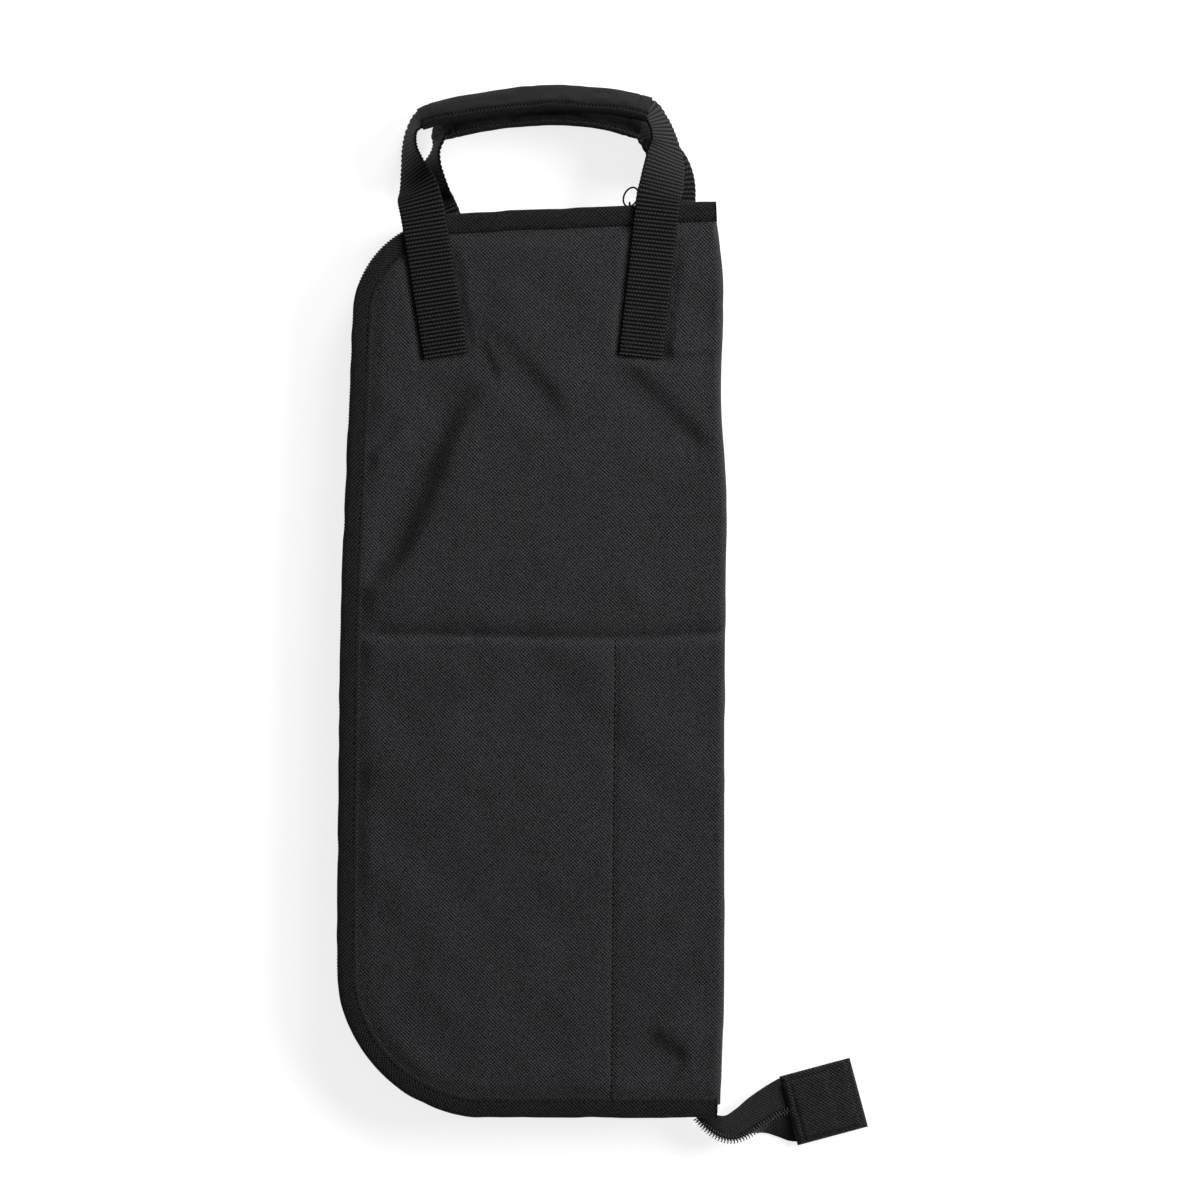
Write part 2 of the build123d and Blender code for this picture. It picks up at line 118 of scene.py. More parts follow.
def resample(rows, step, size=2):
    """Rows of numbers resampled evenly along the line through their first size numbers."""
    length = run_length(rows[:, :size])
    count = max(2, int(round(length[-1] / step)) + 1)
    at = np.linspace(0.0, length[-1], count)
    return np.stack([np.interp(at, length, rows[:, k]) for k in range(rows.shape[1])], axis=1)


def run_length(points):
    return np.concatenate([[0.0], np.cumsum(np.linalg.norm(np.diff(points, axis=0), axis=1))])


# ---- meshes

def add_mesh(name, points, faces, cloth):
    mesh = bpy.data.meshes.new(name)
    mesh.from_pydata((np.asarray(points) * MM).tolist(), [], faces)
    attribute = mesh.attributes.new("cloth", "FLOAT_VECTOR", "POINT")
    attribute.data.foreach_set("vector", (np.asarray(cloth) * MM).astype(np.float32).ravel())
    mesh.polygons.foreach_set("use_smooth", [True] * len(mesh.polygons))
    obj = bpy.data.objects.new(name, mesh)
    bpy.context.scene.collection.objects.link(obj)
    return obj


def grid_faces(n, m, start=0, around=False):
    i, j = np.meshgrid(np.arange(n - 1), np.arange(m if around else m - 1), indexing="ij")
    k = (j + 1) % m
    quads = np.stack([i * m + j, i * m + k, (i + 1) * m + k, (i + 1) * m + j], axis=-1)
    return (quads.reshape(-1, 4) + start).tolist()


def surface(name, points, u, v, around=False, caps=False, flip=False, relief=0.0):
    """A mesh from a grid of points with its fabric coordinates u and v, and its relief, in millimetres."""
    n, m = points.shape[:2]
    faces = grid_faces(n, m, 0, around)
    if caps:
        faces.append(list(range(m)))
        faces.append([(n - 1) * m + j for j in reversed(range(m))])
    if flip:
        faces = [list(reversed(f)) for f in faces]
    cloth = np.stack([u, v, relief + np.zeros_like(u)], axis=-1)
    return add_mesh(name, points.reshape(-1, 3), faces, cloth.reshape(-1, 3))


def both_faces(upper, lower):
    """Rows across a strip's upper face and back along its lower one."""
    return np.concatenate([upper, lower[:, ::-1]], axis=1)


def thread(name, lines, radius, sides=6):
    """Round threads or wires, one along each line of points, all in one mesh."""
    points, faces, cloth = [], [], []
    turn = np.linspace(0.0, 2 * math.pi, sides, endpoint=False)
    start = 0
    for line in lines:
        line = np.asarray(line, float)
        along = unit(np.gradient(line, axis=0))
        pick = np.where(np.abs(along[:, 2:3]) < 0.9, [[0.0, 0.0, 1.0]], [[1.0, 0.0, 0.0]])
        a = unit(np.cross(along, pick))
        b = np.cross(along, a)
        taper = np.ones(len(line))
        taper[0] = taper[-1] = 0.45
        ring = a[:, None] * np.cos(turn)[:, None] + b[:, None] * np.sin(turn)[:, None]
        points.append((line[:, None] + ring * radius * taper[:, None, None]).reshape(-1, 3))
        n = len(line)
        faces += grid_faces(n, sides, start, True)
        faces.append([start + j for j in range(sides)])
        faces.append([start + (n - 1) * sides + j for j in reversed(range(sides))])
        cloth.append(np.repeat(line, sides, axis=0))
        start += n * sides
    return add_mesh(name, np.vstack(points), faces, np.vstack(cloth))


def box_piece(name, centre, size, bevel, turn=0.0):
    """A small rounded block."""
    bpy.ops.mesh.primitive_cube_add(size=1.0)
    obj = bpy.context.active_object
    obj.name = name
    obj.data.name = name
    for vertex in obj.data.vertices:
        for k in range(3):
            vertex.co[k] *= size[k] * MM
    modifier = obj.modifiers.new("bevel", "BEVEL")
    modifier.width = bevel * MM
    modifier.segments = 3
    bpy.ops.object.modifier_apply(modifier="bevel")
    c, s = math.cos(turn), math.sin(turn)
    for vertex in obj.data.vertices:
        x, y, z = vertex.co
        vertex.co = (centre[0] * MM + x * c - y * s, centre[1] * MM + x * s + y * c, centre[2] * MM + z)
    attribute = obj.data.attributes.new("cloth", "FLOAT_VECTOR", "POINT")
    for k, vertex in enumerate(obj.data.vertices):
        attribute.data[k].vector = vertex.co
    obj.data.polygons.foreach_set("use_smooth", [True] * len(obj.data.polygons))
    return obj


# ---- the bag's outline

def fillet_path(corners, radii):
    """A polyline with rounded corners."""
    rows = [np.array(corners[0], float)]
    for k, radius in enumerate(radii):
        a, b, c = (np.array(p, float) for p in corners[k:k + 3])
        to_a = unit(a - b)
        to_c = unit(c - b)
        half = math.acos(float(np.clip(to_a @ to_c, -1, 1))) / 2
        centre = b + unit(to_a + to_c) * radius / math.sin(half)
        first = b + to_a * radius / math.tan(half)
        last = b + to_c * radius / math.tan(half)
        angle = math.atan2(*(first - centre)[::-1])
        sweep_angle = math.atan2(*(last - centre)[::-1]) - angle
        sweep_angle = (sweep_angle + math.pi) % (2 * math.pi) - math.pi
        for t in np.linspace(0.0, 1.0, 48):
            turn = angle + sweep_angle * t
            rows.append(centre + radius * np.array([math.cos(turn), math.sin(turn)]))
    rows.append(np.array(corners[-1], float))
    return np.array(rows)


def top_y(x):
    return TOP_LEFT[1] + (np.asarray(x) - TOP_LEFT[0]) * TOP_RISE


def edge_line(top_end, bottom_end, step):
    """The outline from the spine along the top, the left and the bottom: points, outward unit vectors."""
    far = 130.0
    corners = [(far, float(top_y(far))), TOP_LEFT, LEFT_MIDDLE, BOTTOM_LEFT, (far, BOTTOM_LEFT[1])]
    whole = resample(fillet_path(corners, [52.0, 1500.0, 80.0]), 0.5)
    upper = whole[:, 1] > 0
    keep = np.where(upper, whole[:, 0] <= top_end, whole[:, 0] <= bottom_end)
    line = resample(whole[keep], step)
    along = unit(np.gradient(line, axis=0))
    return line, np.stack([along[:, 1], -along[:, 0]], axis=1)


OUTLINE, OUTWARD = edge_line(120.0, 120.0, 1.0)


def binding_line(top_end, bottom_end, step):
    """The bindings' outline: past the zip's line most along the top, inside it at the top left corner."""
    line, out = edge_line(top_end, bottom_end, step)
    up = out[:, 1:]
    past = 1.0 + 2.4 * ease((up - 0.85) / 0.14) - 1.8 * bell(up - 0.6, 0.25)
    return line + out * past, out


def inset_at(x, y):
    """How far a point lies inside the outline."""
    p = np.stack([np.asarray(x, float).ravel(), np.asarray(y, float).ravel()], axis=1)
    result = np.empty(len(p))
    batch = 8000
    for start in range(0, len(p), batch):
        part = p[start:start + batch]
        d = ((part[:, None] - OUTLINE[None]) ** 2).sum(-1)
        near = d.argmin(axis=1)
        result[start:start + batch] = -((part - OUTLINE[near]) * OUTWARD[near]).sum(1)
    return result.reshape(np.shape(x))


def sweep(name, path, section, wobble=0.0, seed=1):
    """A section of (inset, z) points carried along a path of points and outward unit vectors."""
    line, out = path
    section = np.asarray(section, float)
    s = run_length(line)
    shift = wobble * noise(s, 0 * s, 9.0, seed)[:, None] * np.ones(len(section))
    flat = line[:, None] - out[:, None] * (section[None, :, 0:1] + shift[..., None])
    lift = 0.6 * wobble * noise(s, 0 * s + 40.0, 7.0, seed + 1)
    z = section[None, :, 1] + lift[:, None]
    points = np.concatenate([flat, np.broadcast_to(z, flat.shape[:2])[..., None]], axis=-1)
    across = run_length(section)
    u = np.broadcast_to(s[:, None], z.shape)
    v = np.broadcast_to(across[None], z.shape)
    return surface(name, points, u, v, around=True, caps=True)


def flipped(section):
    """The same section on the other cover."""
    return [(inset, THICK - z) for inset, z in reversed(section)]


# ---- materials

class Field:
    """A number in a material's node tree, with arithmetic."""

    def __init__(self, tree, socket):
        self.tree = tree
        self.socket = socket

    def op(self, kind, *others):
        node = self.tree.nodes.new("ShaderNodeMath")
        node.operation = kind
        for k, value in enumerate((self,) + others):
            if isinstance(value, Field):
                self.tree.links.new(value.socket, node.inputs[k])
            else:
                node.inputs[k].default_value = value
        return Field(self.tree, node.outputs[0])

    def __add__(self, other):
        return self.op("ADD", other)

    def __sub__(self, other):
        return self.op("SUBTRACT", other)

    def __mul__(self, other):
        return self.op("MULTIPLY", other)

    def floor(self):
        return self.op("FLOOR")

    def part(self):
        return self.op("FRACT")

    def hump(self):
        """An arch from 0 to 1 and back over each whole step."""
        f = self.part()
        return f * (f * -4.0 + 4.0)

    def above(self, value):
        return self.op("GREATER_THAN", value)

    def mix(self, a, b):
        return a + (b - a) * self


class Cloth:
    """The node tree of one material, with fabric coordinates in metres."""

    def __init__(self, name):
        self.material = bpy.data.materials.new(name)
        self.material.use_nodes = True
        self.tree = self.material.node_tree
        self.shader = self.tree.nodes["Principled BSDF"]
        self.place = self.tree.nodes.new("ShaderNodeAttribute")
        self.place.attribute_name = "cloth"
        split = self.tree.nodes.new("ShaderNodeSeparateXYZ")
        self.tree.links.new(self.place.outputs["Vector"], split.inputs[0])
        self.u = Field(self.tree, split.outputs[0])
        self.v = Field(self.tree, split.outputs[1])
        # The relief height, which the webbing's material uses for its painted shade and highlight.
        self.relief = Field(self.tree, split.outputs[2])

    def noise(self, size, detail=2.0, stretch=(1.0, 1.0)):
        """Noise from 0 to 1 with features of about size metres."""
        mapping = self.tree.nodes.new("ShaderNodeMapping")
        mapping.inputs["Scale"].default_value = (stretch[0] / size, stretch[1] / size, 1.0 / size)
        self.tree.links.new(self.place.outputs["Vector"], mapping.inputs[0])
        node = self.tree.nodes.new("ShaderNodeTexNoise")
        node.inputs["Scale"].default_value = 1.0
        node.inputs["Detail"].default_value = detail
        self.tree.links.new(mapping.outputs[0], node.inputs["Vector"])
        return Field(self.tree, node.outputs[0])

    def random(self, a, b):
        """A random number for each whole step of a and b."""
        join = self.tree.nodes.new("ShaderNodeCombineXYZ")
        self.tree.links.new(a.floor().socket, join.inputs[0])
        self.tree.links.new(b.floor().socket, join.inputs[1])
        node = self.tree.nodes.new("ShaderNodeTexWhiteNoise")
        node.noise_dimensions = "2D"
        self.tree.links.new(join.outputs[0], node.inputs["Vector"])
        return Field(self.tree, node.outputs[0])

    def finish(self, dark, light, shade, height, bump, roughness, sheen=0.0, specular=0.4):
        """Colour between dark and light by shade, relief by height in steps of bump metres."""
        ramp = self.tree.nodes.new("ShaderNodeMix")
        ramp.data_type = "RGBA"
        ramp.inputs[6].default_value = (*dark, 1.0)
        ramp.inputs[7].default_value = (*light, 1.0)
        self.tree.links.new(shade.socket, ramp.inputs[0])
        self.tree.links.new(ramp.outputs[2], self.shader.inputs["Base Color"])
        node = self.tree.nodes.new("ShaderNodeBump")
        node.inputs["Strength"].default_value = 1.0
        node.inputs["Distance"].default_value = bump
        self.tree.links.new(height.socket, node.inputs["Height"])
        self.tree.links.new(node.outputs[0], self.shader.inputs["Normal"])
        self.shader.inputs["Roughness"].default_value = roughness
        self.shader.inputs["Sheen Weight"].default_value = sheen
        self.shader.inputs["Sheen Roughness"].default_value = 0.4
        self.shader.inputs["Specular IOR Level"].default_value = specular
        self.shader.inputs["Metallic"].default_value = 0.0
        return self.material


def woven(name, dark, light, pitch, bump, roughness=0.75, sheen=0.03, specular=0.15):
    """Twill: threads pitch wide, each floating over two of every four, so ribs run along a diagonal."""
    c = Cloth(name)
    a = c.u * (1.0 / pitch)
    b = c.v * (1.0 / pitch)
    ribs = ((a + b) * 0.25).hump() * 0.65 + ((a - b) * 0.25).hump() * 0.35
    over = ((a.floor() + b.floor()) * 0.25 + 0.01).part().above(0.49)
    height = over.mix(a.hump() * (b.hump() * 0.5 + 0.5), b.hump() * (a.hump() * 0.5 + 0.5))
    knots = c.random(a, b) - 0.5
    mottle = c.noise(0.02, 3.0) - 0.5
    melange = c.noise(0.0022, 1.0) - 0.5
    shade = ribs * 2.4 + height * 0.4 + knots * 0.5 + mottle * 0.3 + melange * 0.6 - 1.3
    shade = shade.op("MAXIMUM", 0.0).op("MINIMUM", 1.0)
    return c.finish(dark, light, shade, ribs + height * 0.5, bump, roughness, sheen, specular)


def grey(value):
    return (value, value, value)


def make_materials():
    fine, coarse = 0.00048, 0.0005
    made = {}
    made["shell"] = woven("shell_twill", grey(0.0005), (0.052, 0.0495, 0.0555), fine, 0.0006)
    made["lining"] = woven("lining_twill", grey(0.006), grey(0.05), coarse, 0.0003, roughness=0.6)
    light = (0.027, 0.025, 0.025)
    made["binding"] = woven("binding_twill", grey(0.0003), light, coarse, 0.0006, specular=0.1)
    made["tape"] = woven("zip_tape_weave", grey(0.002), grey(0.022), 0.0004, 0.0002, roughness=0.7)
    light = (0.022, 0.020, 0.0195)
    made["grip"] = woven("grip_twill", grey(0.0003), light, fine, 0.0004, specular=0.06)
    made["tab"] = woven("tab_twill", grey(0.0005), (0.035, 0.032, 0.0345), fine, 0.0006)

    c = Cloth("webbing_polypropylene")
    fibre = c.noise(0.0004, 2.0, (1.0, 3.0))
    full_relief = 1.0 / 1500.0
    # Painted shade and highlight: the colour follows the ribs' relief, dark in the valleys and light on the
    # raised tops; the fibre streaks are the webbing's own tone.
    painted_rib_light = (c.relief * (1.0 / full_relief)).op("MINIMUM", 1.0).op("POWER", 3.0)
    shade = painted_rib_light * (fibre * 0.6 + 0.5)
    made["webbing"] = c.finish(grey(0.0002), grey(0.05), shade, fibre, 0.00005, 0.55, specular=0.06)

    c = Cloth("thread_polyester")
    twist = (c.u * 2200.0 + c.v * 2200.0).hump()
    made["thread"] = c.finish(grey(0.001), grey(0.008), twist, twist, 0.00004, 0.6, specular=0.15)

    c = Cloth("coil_nylon")
    grain = c.noise(0.0006)
    # The coil's colour is random grain between a dark grey and a lighter one; the lighter grey is set high
    # partly as a painted highlight on the teeth.
    made["coil"] = c.finish(grey(0.004), grey(0.03), grain, grain, 0.00001, 0.35)

    c = Cloth("black_enamelled_metal")
    grain = c.noise(0.0015, 3.0)
    made["metal"] = c.finish(grey(0.006), grey(0.02), grain, grain, 0.00002, 0.3, specular=0.6)

    c = Cloth("dark_nickel_wire")
    grain = c.noise(0.001, 3.0)
    made["wire"] = c.finish(grey(0.008), grey(0.02), grain, grain, 0.00001, 0.35)
    return made


MATERIALS = make_materials()


def dress(obj, material):
    obj.data.materials.append(MATERIALS[material])
    return obj


def stitches(name, lines, radius, body, sides=6):
    """Rows of sewn thread that ride on one body."""
    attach(dress(thread(name, lines, radius, sides), "thread"), body)


# ---- wrinkles of the outer fabric

# A fold deeper than this runs on to the binding, so it fades over a smaller share of its length
DEEP_FOLD = 3.0
DEEP_FADE = 0.12
SHALLOW_FADE = 0.25


def along_fold(x, y, points):
    """Signed distance from a smooth line and the share of its length passed, for every point."""
    line = curve(points, 2.0)
    along = unit(np.gradient(line, axis=0))
    p = np.stack([x.ravel(), y.ravel()], axis=1)
    d = ((p[:, None] - line[None]) ** 2).sum(-1)
    near = d.argmin(axis=1)
    gap = p - line[near]
    side = along[near, 0] * gap[:, 1] - along[near, 1] * gap[:, 0]
    far = np.sqrt(d.min(axis=1))
    ends = (near == 0) | (near == len(line) - 1)
    signed = np.where(ends, np.where(side < 0, -far, far), side)
    return signed.reshape(x.shape), (near / (len(line) - 1)).reshape(x.shape)


def fold(x, y, points, depth, width, shoulder):
    """A valley along a line, steep on its left side where the cloth bulges, fading at both ends."""
    d, t = along_fold(x, y, points)
    end_fade = DEEP_FADE if depth > DEEP_FOLD else SHALLOW_FADE
    fade = ease(t / 0.3) * ease((1.0 - t) / end_fade)
    width = width * (1.0 - 0.2 * ease((t - 0.55) / 0.4))
    valley = -depth * bell(d, width * np.where(d < 0, 2.0, 0.9))
    past = d - 1.5 * width
    bulge = shoulder * bell(past, width * np.where(past > 0, 2.4, 0.9))
    return (valley + bulge) * fade


# Valleys of the front cover: points, depth, width and the height of the bulge beside it
FOLDS = [
    ([(-54.0, 139.0), (-68.0, 122.5), (-79.5, 107.5), (-86.5, 92.0), (-93.0, 74.0), (-101.5, 51.0),
      (-113.0, 29.0), (-134.0, 13.0)], 4.0, 8.8, 2.1),
    ([(-103.5, 102.5), (-113.0, 94.0), (-127.0, 84.0)], 1.5, 3.6, 1.1),
    ([(-72.0, 158.0), (-52.0, 138.0), (-34.0, 118.0), (-16.0, 96.0)], 1.4, 8.0, 1.5),
    ([(-66.0, 146.0), (-59.0, 132.0), (-54.0, 120.0)], 0.8, 3.6, 0.6),
    ([(0.0, 138.0), (14.0, 124.0), (34.0, 104.0), (60.0, 80.0)], 1.5, 8.0, 1.6),
    ([(22.0, 134.2), (45.0, 134.6), (66.0, 137.0)], 1.1, 3.0, 0.9),
    ([(-70.0, -38.0), (-105.0, -60.0), (-134.0, -80.0)], 1.5, 8.5, 1.5),
    ([(20.0, -219.0), (33.0, -229.0), (47.0, -238.0)], 1.9, 7.5, 1.4),
    ([(36.0, -178.0), (52.0, -169.0), (72.0, -160.0)], 0.8, 4.5, 0.8),
    ([(52.0, 176.0), (58.0, 150.0), (56.0, 128.0)], 0.8, 6.0, 0.6),
]


def wrinkles(x, y):
    z = np.zeros_like(x)
    for points, depth, width, shoulder in FOLDS:
        z += fold(x, y, points, depth, width, shoulder)
    d, _ = along_fold(x, y, CREASE)
    hollow = -2.3 * bell(d, np.where(d > 0, 5.5, 2.6))
    pinch = -0.7 * bell(d - 0.6, 1.3)
    swell_below = 0.5 * bell(d + 12.0, 9.0)
    z += hollow + pinch + swell_below
    d, _ = along_fold(x, y, DIVIDER)
    z += (-0.6 * bell(d, 1.2) - 0.35 * bell(d, 6.0)) * ease((CREASE_Y - y) / 4.0)
    z += 0.9 * noise(0.7 * (x + y), 0.35 * (y - x), 22.0, 3) + 0.3 * noise(x + y, y - x, 15.0, 4)
    return z


def strap_gap(x, y, shift):
    """0 under a strap, growing to 1 away from it."""
    gap = np.ones_like(x)
    for (x0, y0), (x1, y1) in (LEFT_STRAP, RIGHT_STRAP):
        centre = x0 + shift + (x1 - x0) * (y - y0) / (y1 - y0)
        beside = np.abs(x - centre) - WEBBING_W / 2
        below = SEWN_Y - y
        off = np.maximum(beside, below)
        gap = np.minimum(gap, ease((off + 0.5) / 7.0))
    return gap


# Where the cloth turns over at the spine, as y and x
SPINE_EDGE = [(-268.0, 62.6), (-225.0, 63.6), (-190.0, 64.8), (-60.0, 64.9), (20.0, 65.6), (50.0, 66.2),
              (80.0, 65.0), (112.0, 62.9), (150.0, 63.8), (176.0, 64.3), (200.0, 61.8), (218.0, 59.6)]
SPINE_START = 60.0


def spine_x(y):
    knots = curve([(along, x, 0.0) for along, x in SPINE_EDGE], 2.0)
    return np.interp(y, knots[:, 0], knots[:, 1])


def row_y(x, v, inset):
    """The y at share v of the way from the bottom edge to the top one."""
    bottom = BOTTOM_LEFT[1] + inset
    return bottom + v * (top_y(x) - inset - bottom)


def left_limit(v, inset):
    """The x at which each row of the panel starts, by halving."""
    low = np.full_like(v, -145.0)
    high = np.full_like(v, 20.0)
    for _ in range(26):
        middle = (low + high) / 2
        inside = inset_at(middle, row_y(middle, v, inset)) > inset
        high = np.where(inside, middle, high)
        low = np.where(inside, low, middle)
    return high


def cover_sheet(height_at, rows, columns, turned, inset, behind, corner, bulge):
    """A cover's sheet as x, y and height: flat, round the spine's corner, down to the spine's middle.

    turned is its columns round the corner and down the spine, behind how far it lies inside SPINE_EDGE.
    """
    v = np.linspace(0.0, 1.0, rows)
    left = left_limit(v, inset)
    edge = spine_x(row_y(SPINE_START, v, inset)) - behind
    x = left[:, None] + (edge - corner - left)[:, None] * np.linspace(0.0, 1.0, columns)[None]
    y = row_y(x, v[:, None] + 0 * x, inset)
    height = height_at(x, y)
    turn = np.linspace(0.0, math.pi / 2, turned[0] + 1)[1:]
    down = np.linspace(0.0, 1.0, turned[1] + 1)[1:]
    last = height[:, -1:]
    arc_x = (edge - corner)[:, None] + corner * np.sin(turn)[None]
    arc_h = last - corner * (1.0 - np.cos(turn))[None]
    low_h = (last - corner) * (1.0 - down)[None]
    low_x = edge[:, None] + noise(y[:, -1:], low_h, 22.0, 12) * bulge * np.sin(math.pi * down)[None]
    y_end = np.repeat(row_y(edge, v, inset)[:, None], sum(turned), axis=1)
    x = np.concatenate([x, arc_x, low_x], axis=1)
    y = np.concatenate([y, y_end], axis=1)
    return x, y, np.concatenate([height, arc_h, low_h], axis=1)


def cover_height(x, y, shift, front):
    """Height of a cover's outer fabric above the bag's middle plane: seat under the straps' ends."""
    inset = inset_at(x, y)
    rise = ease((inset - 8.8) / 11.0)
    height = 10.7 + 2.1 * rise
    if front:
        seat = 11.45
        pillow = ease((inset - 12.0) / 60.0) * 0.5
        height = height + pillow + wrinkles(x, y) * ease((inset - 10.0) / 10.0)
    else:
        seat = 11.25
        resting = 12.85
        d, _ = along_fold(x, y, CREASE)
        height = height - 0.15 + 0.25 * noise(x, y, 30.0, 8) * rise - 0.7 * bell(d, 1.8)
        height = np.minimum(height, resting)
    gap = strap_gap(x, y, shift)
    return np.minimum(height, seat + (height - seat) * gap)


def bend_at_spine(obj):
    """Bakes a sheet's placement into its mesh."""
    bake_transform(obj)


def cover_panel(name, front):
    """Outer fabric of one cover, turned over the spine's corner to the middle of the spine."""
    shift = 0.0 if front else BACK_SHIFT
    x, y, height = cover_sheet(lambda x, y: cover_height(x, y, shift, front), rows=340, columns=150,
                               turned=(8, 8), inset=7.5, behind=0.0, corner=4.0, bulge=0.7)
    z = MIDDLE + height if front else np.maximum(MIDDLE - height, 0.12)
    points = np.stack([x, y, z], axis=-1)
    step = np.linalg.norm(np.diff(points, axis=1), axis=-1)
    across = np.concatenate([np.zeros((len(x), 1)), np.cumsum(step, axis=1)], axis=1) + x[:, :1]
    obj = surface(name, points, across, y, flip=not front)
    dress(obj, "shell")
    bend_at_spine(obj)
    return obj


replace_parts(cover_panel("front_panel", True), "front_shell", "front_padding", "spine_shell")
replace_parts(cover_panel("back_panel", False), "back_shell", "back_padding")


# ---- linings and the inner pocket

LINING_HEIGHT = 8.45
POCKET_TOP_Z = 21.2
POCKET_SEAM_X = 7.0


def inner_face(name, front):
    """Lining of one cover, turned along the spine to its middle."""
    x, y, height = cover_sheet(lambda x, y: LINING_HEIGHT + 0.12 * noise(x, y, 22.0, 21), rows=150,
                               columns=70, turned=(6, 5), inset=2.6, behind=1.3, corner=3.0, bulge=0.0)
    z = MIDDLE + height if front else MIDDLE - height
    obj = surface(name, np.stack([x, y, z], axis=-1), x, y, flip=front)
    dress(obj, "lining")
    bend_at_spine(obj)
    return obj


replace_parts(inner_face("front_lining_cloth", True), "front_lining", "spine_lining")
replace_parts(inner_face("back_lining_cloth", False), "back_lining")


def pocket_height(x, y):
    """How far the inner pocket's panel hangs below the lining."""
    inset = inset_at(x, y)
    wall = ease((inset - 13.4) / 7.0) * ease((61.2 - x) / 6.0)
    seam = 1.0 - bell(x - POCKET_SEAM_X, 3.2)
    return 5.9 * np.sqrt(wall) * (0.16 + 0.84 * seam) + 0.2 * noise(x, y, 18.0, 31) * wall


def row_start(y, inset):
    """The x at which the outline's left side is this far away."""
    x = np.linspace(-142.0, 10.0, 160)
    return np.interp(inset, inset_at(x, np.full_like(x, y)), x)


def inner_pocket():
    rows, columns, hem_rows = 130, 130, 8
    y = np.linspace(-251.4, -14.2, rows)[:, None] + np.zeros((1, columns))
    left = np.array([row_start(value, 13.2) for value in y[:, 0]])
    right = 61.4
    x = left[:, None] + (right - left)[:, None] * np.linspace(0.0, 1.0, columns)[None]
    points = np.stack([x, y, POCKET_TOP_Z - pocket_height(x, y)], axis=-1)
    panel = dress(surface("inner_pocket_cloth", points, x, y, flip=True), "lining")
    y = np.linspace(-23.2, -13.6, hem_rows)[:, None] + np.zeros((1, columns))
    x = np.broadcast_to(x[-1], y.shape)
    z = POCKET_TOP_Z - pocket_height(x, y) - 0.55
    z[-1] += 0.5
    z[0] += 0.4
    hem = surface("inner_pocket_hem_tape", np.stack([x, y, z], axis=-1), x, y, flip=True)
    dress(hem, "binding")
    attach(panel, "front_cover")
    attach(hem, "front_cover")
    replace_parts(panel, "inner_pocket_panel")
    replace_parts(hem, "inner_pocket_hem")
    x = POCKET_SEAM_X
    lines = []
    for y in np.arange(-248.0, -18.0, 3.2):
        z = POCKET_TOP_Z - float(pocket_height(np.array([x]), np.array([y]))[0]) - 0.15
        lines.append([(x, y, z), (x, y + 1.1, z - 0.12), (x, y + 2.3, z)])
    stitches("inner_divider_stitches", lines, 0.22, "front_cover")


inner_pocket()


# ---- binding, zip tape and coil

# Folded tape round the back cover's edge, then the back zip tape from under it to the coil, as (inset, z)
BINDING_SECTION = [(12.3, 1.95), (11.6, 1.62), (8.5, 1.42), (5.0, 1.5), (2.9, 1.75), (1.95, 2.4), (1.7, 3.6),
                   (1.95, 4.8), (2.8, 5.35), (6.0, 5.5), (12.3, 5.5), (12.3, 5.1), (3.0, 4.95),
                   (2.3, 3.6), (3.1, 2.3), (8.5, 1.95), (12.0, 2.2)]
TAPE_SECTION = [(11.8, 5.6), (3.2, 5.6), (2.05, 6.2), (1.85, 8.0), (1.85, 11.8), (2.35, 11.8), (2.4, 8.0),
                (2.7, 6.6), (3.6, 6.1), (11.8, 6.1)]


def stitch_run(path, inset, z, dip, length):
    """Stitches along a path, each a short thread that dips into the cloth at both ends."""
    line, out = path
    along = np.stack([-out[:, 1], out[:, 0]], axis=1)
    lines = []
    for p, n, t in zip(line, out, along):
        centre = p - n * inset
        row = []
        for share in (-0.5, -0.2, 0.2, 0.5):
            q = centre + t * length * share
            row.append((q[0], q[1], z + dip * (1.0 if abs(share) > 0.3 else 0.0)))
        lines.append(row)
    return lines


def edges():
    for side, body, seed in (("back", "back_cover", 41), ("front", "front_cover", 51)):
        is_back = side == "back"
        turn = list if is_back else flipped
        line = binding_line(60.6, 61.4, 1.5)
        piece = sweep(f"{side}_edge_binding", line, turn(BINDING_SECTION), 0.35, seed)
        dress(piece, "binding")
        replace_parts(piece, f"{side}_binding")
        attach(piece, body)
        face_z = 1.42
        z, dip = (face_z, 0.3) if is_back else (THICK - face_z, -0.3)
        lines = stitch_run(binding_line(59.0, 60.0, 3.1), 10.6, z, dip, 2.3)
        stitches(f"{side}_binding_stitches", lines, 0.24, body)
        piece = sweep(f"{side}_zip_tape_cloth", edge_line(44.0, 49.0, 2.0), turn(TAPE_SECTION))
        dress(piece, "tape")
        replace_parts(piece, f"{side}_zip_tape")
        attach(piece, body)
        seam_z = 8.6
        z = seam_z if is_back else THICK - seam_z
        lines = stitch_run(edge_line(43.0, 48.0, 3.0), 1.72, z, 0.0, 2.2)
        stitches(f"{side}_tape_stitches", lines, 0.2, body, 5)


edges()


def tooth(p, out, along, side):
    """One turn of the coil: out of the tape, over the edge and back."""
    rows = []
    for inset, z, t in ((1.75, 9.7, -0.32), (0.75, 9.8, -0.3), (0.42, 10.8, -0.16), (0.42, 12.4, 0.0),
                        (0.62, 13.25, 0.05), (1.2, 13.3, 0.16), (1.7, 12.4, 0.3), (1.72, 10.6, 0.36)):
        q = p - out * inset + along * t
        rows.append((q[0], q[1], z if side == "back" else THICK - z))
    return rows


